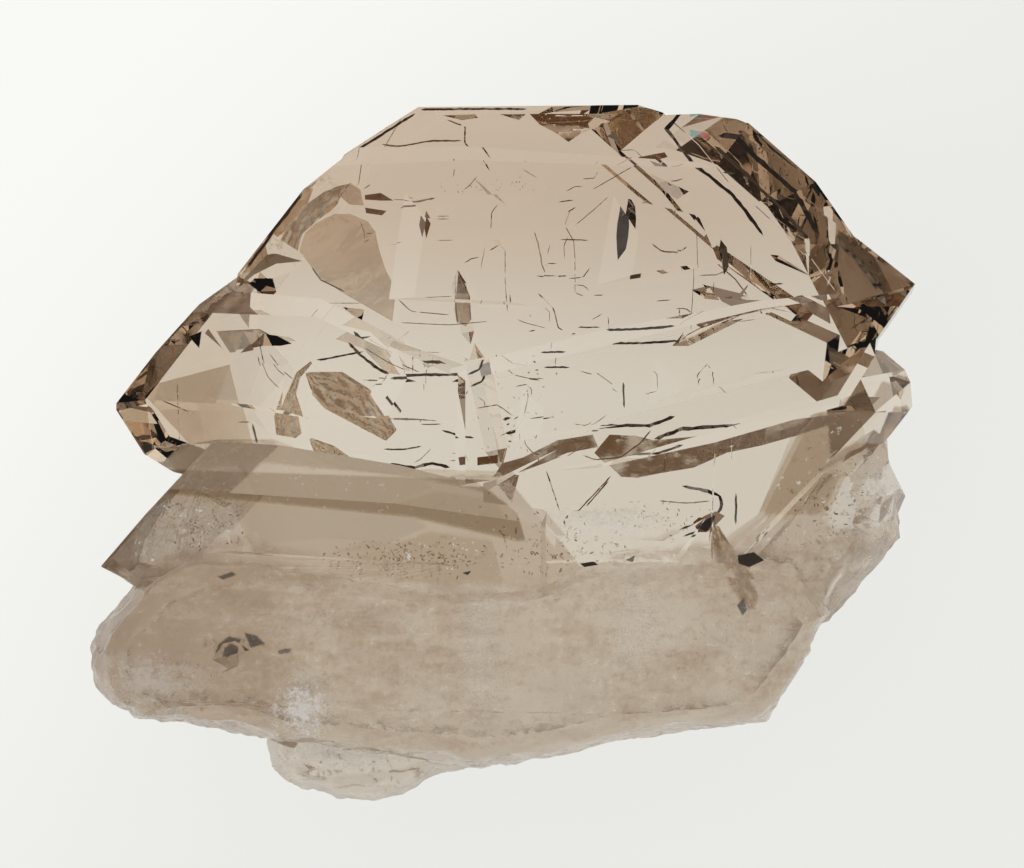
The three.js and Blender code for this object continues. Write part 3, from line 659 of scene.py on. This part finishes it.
def flat_crack(shape, dip, towards, middle_z, outline, kind=None):
    area = sum(x0 * y1 - x1 * y0 for (x0, y0), (x1, y1) in zip(outline, outline[1:] + outline[:1]))
    ring = outline if area > 0 else outline[::-1]
    count = len(ring)
    middle = Vector((sum(x for x, _ in ring), sum(y for _, y in ring))) / count
    fall = fall_of(dip, towards)
    low = [(x, y, middle_z - (Vector((x, y)) - middle).dot(fall)) for x, y in ring]
    high = [(x, y, z + GAP) for x, y, z in low]
    sides = [(i, (i + 1) % count, (i + 1) % count + count, i + count) for i in range(count)]
    caps = [tuple(range(2 * count - 1, count - 1, -1))[::-1], tuple(range(count - 1, -1, -1))]
    add_hollow(shape, low + high, sides + caps, kind)


def along(points, fraction):
    """The place at a fraction of the way along a line, and the line's direction there."""
    corners = [Vector(point) for point in points]
    lengths = [(b - a).length for a, b in zip(corners, corners[1:])]
    left = fraction * sum(lengths)
    for a, b, length in zip(corners, corners[1:], lengths):
        if left <= length:
            return a + (b - a) * (left / length), (b - a).normalized()
        left -= length
    return corners[-1], (corners[-1] - corners[-2]).normalized()


def edge_crack(shape, chance, width, middle_z, path):
    """A thin wedge: its one upper side is a steep mirror, so that it looks dark from above."""
    length = sum((Vector(b) - Vector(a)).length for a, b in zip(path, path[1:]))
    count = max(4, round(length / max(CRACK_STEP, CRACK_STEP_SHARE * width)))
    steep = math.tan(math.radians(CRACK_SLOPE))
    high_side = 1 if path[-1][0] < path[0][0] else -1
    points = [(*path[0], middle_z)]
    for i in range(1, count):
        spot, ahead = along(path, i / count)
        across = Vector((-ahead.y, ahead.x))
        half = 0.5 * width * chance.uniform(*CRACK_WIDTHS)
        spot = spot + across * chance.uniform(-CRACK_SWAY, CRACK_SWAY) * width
        left, right = spot + across * half, spot - across * half
        rise = middle_z + 2 * half * steep
        peak = left if high_side > 0 else right
        points += [(*left, middle_z), (*peak, rise), (*right, middle_z)]
    points.append((*path[-1], middle_z))
    last = len(points) - 1
    faces = []
    for k in range(3):
        follow = (k + 1) % 3
        faces.append((1 + follow, 1 + k, 0))
        faces.append((last - 3 + k, last - 3 + follow, last))
        for ring in range(count - 2):
            a = 1 + 3 * ring
            faces.append((a + k, a + follow, a + 3 + follow, a + 3 + k))
    # cracks at least DARK_FROM wide are marked for painted shade
    add_hollow(shape, points, faces, "dark" if width >= DARK_FROM else None)


def hair_crack(shape, chance):
    """A short fine crack with a bend in it, somewhere in the clear quartz."""
    start = Vector([chance.uniform(low, high) for low, high in zip(HAIR_LOW, HAIR_HIGH)])
    angle = math.radians(chance.choice(HAIR_DIRECTIONS) + chance.uniform(-HAIR_TURN, HAIR_TURN))
    path = [(start.x, start.y)]
    for _ in range(chance.randint(1, 2)):
        length = chance.uniform(*HAIR_LENGTHS)
        path.append((path[-1][0] + math.cos(angle) * length, path[-1][1] + math.sin(angle) * length))
        angle += math.radians(chance.uniform(-HAIR_BEND, HAIR_BEND))
    edge_crack(shape, chance, chance.uniform(*HAIR_WIDTHS), start.z, path)


def fall_of(dip, towards):
    """How far a plane falls for each step across, as a vector."""
    side = math.radians(towards)
    return Vector((math.cos(side), math.sin(side))) * math.tan(math.radians(dip))


def veil(shape, chance, dip, towards, middle_z, fold, left_edge, right_edge):
    length = sum((Vector(b) - Vector(a)).length for a, b in zip(left_edge, left_edge[1:]))
    rows = round(length / VEIL_STEP)
    width = max((along(left_edge, t)[0] - along(right_edge, t)[0]).length for t in (0.25, 0.5, 0.75))
    columns = max(4, round(width / VEIL_STEP))
    fall = fall_of(dip, towards)
    middle = (along(left_edge, 0.5)[0] + along(right_edge, 0.5)[0]) / 2
    low = []
    for row in range(rows + 1):
        left = along(left_edge, row / rows)[0]
        right = along(right_edge, row / rows)[0]
        for column in range(columns + 1):
            spot = left.lerp(right, column / columns)
            folds = Vector((column * FOLD_STEPS[0], row * FOLD_STEPS[1], middle_z))
            lift = noise.noise(folds) * fold + chance.uniform(-VEIL_JITTER, VEIL_JITTER)
            low.append((spot.x, spot.y, middle_z + lift - (spot - middle).dot(fall)))
    high = [(x, y, z + GAP) for x, y, z in low]
    wide = columns + 1
    starts = [row * wide + column for row in range(rows) for column in range(columns)]
    grid = [(start, start + 1, start + wide + 1, start + wide) for start in starts]
    rim = list(range(wide)) + [row * wide + columns for row in range(1, rows + 1)]
    rim += [rows * wide + column for column in range(columns - 1, -1, -1)]
    rim += [row * wide for row in range(rows - 1, 0, -1)]
    base = len(low)
    first, second, third = (Vector(low[i]).xy for i in grid[len(grid) // 2][:3])
    turns_left = (second - first).cross(third - second) > 0
    faces = [tuple(i + base for i in face) for face in grid] + [face[::-1] for face in grid]
    faces += [(a, b, b + base, a + base) for a, b in zip(rim, rim[1:] + rim[:1])]
    add_hollow(shape, low + high, faces if turns_left else [face[::-1] for face in faces], "crumpled")


def split_edge(shape, edge):
    """Splits an edge in the middle, and each triangle beside it in two."""
    middle = bmesh.utils.edge_split(edge, edge.verts[0], 0.5)[1]
    for face in list(middle.link_faces):
        beside = {other for side in middle.link_edges for other in side.verts}
        opposite = next(vert for vert in face.verts if vert not in beside)
        bmesh.utils.face_split(face, middle, opposite)


def flakes(shape, skin, chance, middle, reach, count, size):
    """Strews thin many-sided hollows through an egg-shaped space."""
    for _ in range(count):
        away = Vector([chance.gauss(0, FLAKE_SPREAD) for _ in range(3)])
        if away.length > 1:
            away.normalize()
        spot = Vector(middle) + away * Vector(reach)
        nearest, outward, _, distance = skin.find_nearest(spot * MM)
        if (spot * MM - nearest).dot(outward) > 0 or distance < (FLAKE_COVER + size / 2) * MM:
            continue
        corners = chance.randint(*FLAKE_CORNERS)
        start = chance.uniform(0, math.tau)
        stretch = chance.uniform(*FLAKE_STRETCH)
        long_side = chance.uniform(0, math.pi)
        outline = []
        for i in range(corners):
            angle = start + math.tau * i / corners
            radius = 0.5 * size * chance.uniform(*FLAKE_RADII)
            point = Vector((math.cos(angle) * radius, math.sin(angle) * radius * stretch))
            point.rotate(Matrix.Rotation(long_side, 2))
            outline.append((spot.x + point.x, spot.y + point.y))
        flat_crack(shape, chance.uniform(*FLAKE_DIPS), chance.uniform(0, 360), spot.z, outline)


def refine_cloudy_surface(shape):
    """Splits the cloudy zone's triangles until their edges are short."""
    for _ in range(CLOUD_MESH_PASSES):
        long_edges = []
        for edge in shape.edges:
            middle = (edge.verts[0].co + edge.verts[1].co) / 2 / MM
            if edge.calc_length() > CLOUD_MESH * MM and cloudiness(middle.x, middle.y) > 0:
                long_edges.append(edge)
        for edge in sorted(long_edges, key=lambda edge: -edge.calc_length()):
            split_edge(shape, edge)


def roughen_cloudy_surface(shape):
    shape.normal_update()
    moves = []
    for vert in shape.verts:
        place = vert.co / MM
        amount = cloudiness(place.x, place.y)
        if amount == 0 or place.z < REST_ZONE:
            continue
        wall = 1 - abs(vert.normal.z)
        depth = RIPPLE + (FRACTURE - RIPPLE) * min(1.0, wall * WALL_GAIN)
        bumps = noise.fractal(place * ROUGH_SCALE, *ROUGH_NOISE)
        moves.append((vert, vert.normal * (bumps * depth * amount * MM)))
    for vert, move in moves:
        vert.co += move
        vert.co.z = max(vert.co.z, 0.0)


def crystal(frame):
    node = frame["nodes"]["gwindel"]
    mesh = node.data.copy()
    shape = bmesh.new()
    shape.from_mesh(mesh)
    bmesh.ops.remove_doubles(shape, verts=shape.verts, dist=WELD * MM)
    for kind in ("dark", "crumpled"):
        shape.verts.layers.float.new(kind)
    refine_cloudy_surface(shape)
    roughen_cloudy_surface(shape)
    for face in shape.faces:
        place = face.calc_center_median() / MM
        face.smooth = cloudiness(place.x, place.y) > 0.5
    shape.normal_update()
    for edge in shape.edges:
        edge.smooth = edge.is_manifold and edge.calc_face_angle() < math.radians(SHARP)
    chance = random.Random(SEED)
    skin = BVHTree.FromBMesh(shape)
    for crack in FLAT_CRACKS:
        flat_crack(shape, *crack)
    for middle_z, outline in DARK_SPOTS:
        flat_crack(shape, 0, 0, middle_z, outline, "dark")
    for crack in EDGE_CRACKS:
        edge_crack(shape, chance, *crack)
    for _ in range(HAIR_CRACKS):
        hair_crack(shape, chance)
    for crumpled in VEILS:
        veil(shape, chance, *crumpled)
    for swarm in FLAKES:
        flakes(shape, skin, chance, *swarm)
    shape.to_mesh(mesh)
    shape.free()
    mesh.materials.clear()
    mesh.materials.append(quartz())
    piece = bpy.data.objects.new("quartz_crystal", mesh)
    bpy.context.collection.objects.link(piece)
    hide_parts("gwindel")
    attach(piece, "root")


def floor():
    mesh = bpy.data.meshes.new("floor")
    half = FLOOR_HALF * MM
    z = FLOOR_Z * MM
    corners = [(-half, -half, z), (half, -half, z), (half, half, z), (-half, half, z)]
    mesh.from_pydata(corners, [], [(0, 1, 2, 3)])
    made, graph = material("floor")
    place = graph.add("TexCoord").outputs["Object"]
    away = graph.add("VectorMath", {0: place}, operation="LENGTH").outputs["Value"]
    split = graph.add("SeparateXYZ", {0: place})
    corner = graph.math("SUBTRACT", split.outputs["X"], split.outputs["Y"])
    fading = graph.ramp(corner, *CORNER_FADES, 1.0, CORNER_GLOW)
    near = graph.ramp(away, *GLOW_FADES, 1.0, 0.0)
    glow = graph.math("MULTIPLY", graph.math("MULTIPLY", near, FLOOR_GLOW), fading)
    paint = graph.add("BsdfPrincipled", {
        "Base Color": graph.mix(near, FLOOR_FAR, FLOOR_NEAR), "Roughness": FLOOR_ROUGHNESS,
        "Specular IOR Level": 0.0, "Emission Color": GLOW_COLOUR, "Emission Strength": glow,
    })
    graph.add("OutputMaterial", {"Surface": paint.outputs["BSDF"]})
    made.cycles.emission_sampling = "NONE"
    mesh.materials.append(made)
    ground = bpy.data.objects.new("floor", mesh)
    bpy.context.collection.objects.link(ground)


def world():
    """A soft studio light from above that is dark at the horizon."""
    sky = bpy.data.worlds.new("studio")
    bpy.context.scene.world = sky
    sky.use_nodes = True
    sky.cycles.sampling_method = "NONE"
    graph = Graph(sky.node_tree)
    up = graph.add("SeparateXYZ", {0: graph.add("TexCoord").outputs["Generated"]}).outputs["Z"]
    rise = {"Value": up, "From Min": RING_RISES[0], "From Max": RING_RISES[1]}
    dome = graph.mix(graph.add("MapRange", rise).outputs["Result"], HORIZON, LIT_RING)
    dome = graph.mix(graph.ramp(up, *OVERHEAD_BEGINS), dome, OVERHEAD)
    back = graph.add("Background", {"Color": dome, "Strength": 1.0})
    graph.add("OutputWorld", {"Surface": back.outputs["Background"]})


def camera():
    lens = bpy.data.cameras.new("camera")
    lens.lens = LENS
    lens.sensor_width = SENSOR
    lens.clip_end = SIGHT
    eye = bpy.data.objects.new("camera", lens)
    bpy.context.collection.objects.link(eye)
    away = VIEW_WIDTH * LENS / SENSOR
    eye.location = Vector((*VIEW_CENTRE, CRYSTAL_MIDDLE_Z + away)) * MM
    bpy.context.scene.camera = eye


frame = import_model()
camera()
crystal(frame)
floor()
world()
bpy.context.scene.view_settings.view_transform = "Standard"
